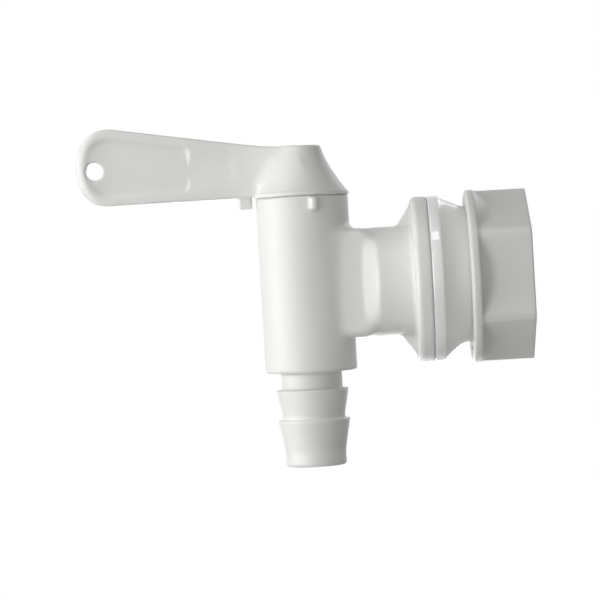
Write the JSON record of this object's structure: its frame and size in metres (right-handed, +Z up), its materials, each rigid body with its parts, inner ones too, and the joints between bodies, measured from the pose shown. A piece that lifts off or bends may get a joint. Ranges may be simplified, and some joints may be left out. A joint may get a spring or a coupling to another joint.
{
  "type": "plastic spigot",
  "caption": "Plastic lever spigot with turning plug valve, barbed hose outlet, and a flanged threaded inlet with cone seal and hexagonal backnut.",
  "frame": {"origin": "on the inlet axis, in the plane of the flange's wall-side face", "axes": "+X along the inlet into the container, -X towards the lever's tip, +Z up, hose spout pointing to -Z"},
  "size_m": [0.0965, 0.0374, 0.075],
  "materials": {
    "body_plastic": "satin white polypropylene moulding",
    "lever_plastic": "satin white polypropylene moulding",
    "plug_plastic": "waxy natural polyethylene",
    "ring_rubber": "smooth black nitrile rubber",
    "seal_rubber": "soft white moulded rubber, a little glossier than the body",
    "washer_plastic": "waxy natural polyethylene",
    "nut_plastic": "satin white polypropylene moulding"
  },
  "bodies": {
    "tap": {"tap_body": "body_plastic", "cone_seal": "seal_rubber"},
    "valve": {"lever": "lever_plastic", "plug": "plug_plastic", "upper_o_ring": "ring_rubber", "lower_o_ring": "ring_rubber"},
    "washer": {"slip_washer": "washer_plastic"},
    "nut": {"hex_nut": "nut_plastic"}
  },
  "joints": [
    {"name": "lever_turn", "type": "hinge", "parent": "tap", "child": "valve", "pos_m": [-0.0267, 0, 0], "axis": [0, 0, 1], "range_deg": [-90, 90]},
    {"name": "nut_travel", "type": "slide", "parent": "tap", "child": "washer", "axis": [1, 0, 0], "range_m": [0, 0.00908]},
    {"name": "nut_spin", "type": "hinge", "parent": "washer", "child": "nut", "pos_m": [0.0143, 0, 0], "axis": [1, 0, 0], "range_deg": [0, 1800]}
  ],
  "couplings": [
    {"joint": "nut_travel", "follows": "nut_spin", "m_per_rad": 0.00028871}
  ]
}
